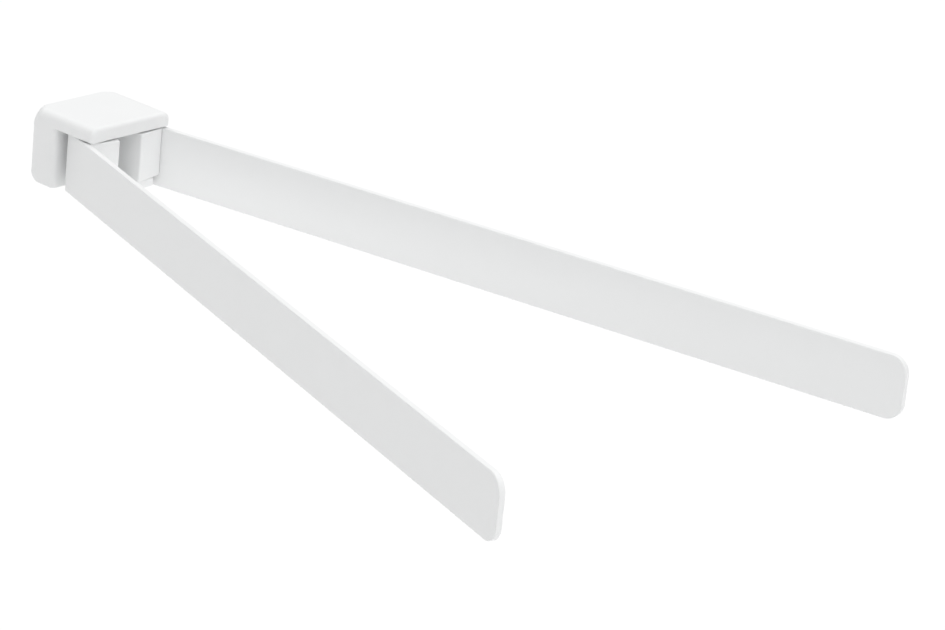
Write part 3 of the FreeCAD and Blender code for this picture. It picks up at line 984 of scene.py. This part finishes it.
    def make_wave_washer(self) -> None:
        """Makes the wave washer under the hood, in place of the flat ring of the model."""
        node = f"{self.side.word}_wave_washer"
        low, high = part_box(node)
        recipe = Recipe(f"{node}_recipe", {
            "Inner Radius": self.washer_inner,
            "Outer Radius": self.washer_outer,
            "Floor": low.z,
            "Roof": high.z,
            "Sheet": self.washer_sheet,
            "Waves": self.waves,
            "Steps": self.wave_steps,
        })
        waves = recipe.size("Waves")
        around = waves * recipe.size("Steps")
        mesh, column, row = recipe.grid(around + 1, self.CORNERS + 1)
        turn = (column % around) / around * FULL_TURN

        # Corners 1 and 2 of the section are outside, and 2 and 3 are above.
        corner = row % self.CORNERS
        outside = abs(corner - self.MIDDLE_CORNER) < 1.0
        above = corner > self.MIDDLE_CORNER

        inner = recipe.size("Inner Radius")
        radius = inner + outside * (recipe.size("Outer Radius") - inner)
        floor = recipe.size("Floor")
        sheet = recipe.size("Sheet")
        swing = (recipe.size("Roof") - floor - sheet) / 2
        lift = ((turn * waves).cos() + 1.0) * swing
        height = floor + lift + above * sheet
        skin = recipe.placed(mesh, radius * turn.cos(), radius * turn.sin(), height)
        washer = recipe.run(f"sprung_{node}", recipe.welded(skin), self.finishes.spring)
        self.stand_on_pivot(washer, turned=False)
        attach(washer, ROOT)
        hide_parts(node)
        log.info("%s: %d faces", washer.name, len(washer.data.polygons))


# ---------------------------------------------------------------- studio


@dataclass(frozen=True)
class FrontLamp:
    """A large soft lamp in front of the block, which lights what lies under its hood."""

    place: Triple = (-0.1, -3.0, 0.6)
    target: Triple = (0.0, 0.0, 0.0)
    width: float = 2.0
    power: float = 10.0

    def hang(self) -> None:
        """Adds the lamp to the scene."""
        light = bpy.data.lights.new("front_lamp", "AREA")
        light.size = self.width
        light.energy = self.power
        lamp = bpy.data.objects.new("front_lamp", light)
        lamp.location = self.place
        lamp.rotation_mode = "QUATERNION"
        beam = Vector(self.target) - Vector(self.place)
        lamp.rotation_quaternion = beam.to_track_quat("-Z", "Y")
        bpy.context.scene.collection.objects.link(lamp)


@dataclass(frozen=True)
class Studio:
    """A pale floor and a lamp under a soft sky, which is brightest overhead."""

    floor_level: float = -2.0
    floor_half: float = 30.0
    floor_tone: float = 0.945
    floor_roughness: float = 0.9
    horizon_light: float = 0.08
    overhead_light: float = 1.5

    def build(self) -> None:
        """Adds floor, sky and lamp."""
        self.lay_floor()
        self.light_sky()
        FrontLamp().hang()

    def lay_floor(self) -> None:
        """Lays the floor, well under the object so that no shadow shows."""
        half = self.floor_half
        outline = ((-half, -half), (half, -half), (half, half), (-half, half))
        mesh = bpy.data.meshes.new("pale_floor")
        mesh.from_pydata([(x, y, self.floor_level) for x, y in outline], [], [(0, 1, 2, 3)])
        floor = bpy.data.objects.new("pale_floor", mesh)
        bpy.context.scene.collection.objects.link(floor)
        surface = Surface("pale_floor")
        surface.set(
            Base_Color=(self.floor_tone, self.floor_tone, self.floor_tone, 1.0),
            Roughness=self.floor_roughness,
            Specular_IOR_Level=0.0,
        )
        mesh.materials.append(surface.material)

    def light_sky(self) -> None:
        """Lights the scene evenly from all sides, and more the higher up the light comes from."""
        world = bpy.data.worlds.new("soft_sky")
        world.use_nodes = True
        graph = Graph(world.node_tree)
        direction = graph.node("ShaderNodeTexCoord").outputs["Generated"]
        _, _, height = graph.parts(direction)
        strength = height.at_least(0.0) * self.overhead_light + self.horizon_light
        sky = graph.node("ShaderNodeBackground", inputs={"Color": WHITE, "Strength": strength})
        graph.node("ShaderNodeOutputWorld", inputs={"Surface": sky.outputs[0]})
        bpy.context.scene.world = world
        bpy.context.scene.view_settings.view_transform = "Standard"


@dataclass(frozen=True)
class Viewpoint:
    """The camera of the photograph: where it stands, how it is turned and how long its lens is."""

    azimuth_deg: float = -49.99
    elevation_deg: float = 21.02
    roll_deg: float = 5.79
    place: Triple = (-1.26723, -1.32749, 0.62838)
    lens_mm: float = 152.0
    sensor_mm: float = 36.0
    nearest: float = 0.05
    farthest: float = 100.0

    def build(self) -> None:
        """Adds the camera and makes it the scene's."""
        azimuth = math.radians(self.azimuth_deg)
        elevation = math.radians(self.elevation_deg)
        roll = math.radians(self.roll_deg)
        level = Vector((math.cos(azimuth), math.sin(azimuth), 0.0))
        back = Vector((
            math.sin(azimuth) * math.cos(elevation),
            -math.cos(azimuth) * math.cos(elevation),
            math.sin(elevation),
        ))
        upright = back.cross(level)
        right = level * math.cos(roll) + upright * math.sin(roll)
        up = upright * math.cos(roll) - level * math.sin(roll)
        data = bpy.data.cameras.new("photo_camera")
        data.lens = self.lens_mm
        data.sensor_width = self.sensor_mm
        data.clip_start = self.nearest
        data.clip_end = self.farthest
        camera = bpy.data.objects.new("photo_camera", data)
        turn = Matrix((right, up, back)).transposed().to_4x4()
        camera.matrix_world = Matrix.Translation(self.place) @ turn
        bpy.context.scene.collection.objects.link(camera)
        bpy.context.scene.camera = camera


def main() -> None:
    """Builds the studio, the camera and every piece."""
    logging.basicConfig(level=logging.INFO, format="%(name)s %(message)s")
    Viewpoint().build()
    Studio().build()
    finishes = Finishes.made()
    WallBlock(finishes).build()
    for side in Side:
        SwingArm(side, finishes).build()


if __name__ == "__main__":
    main()
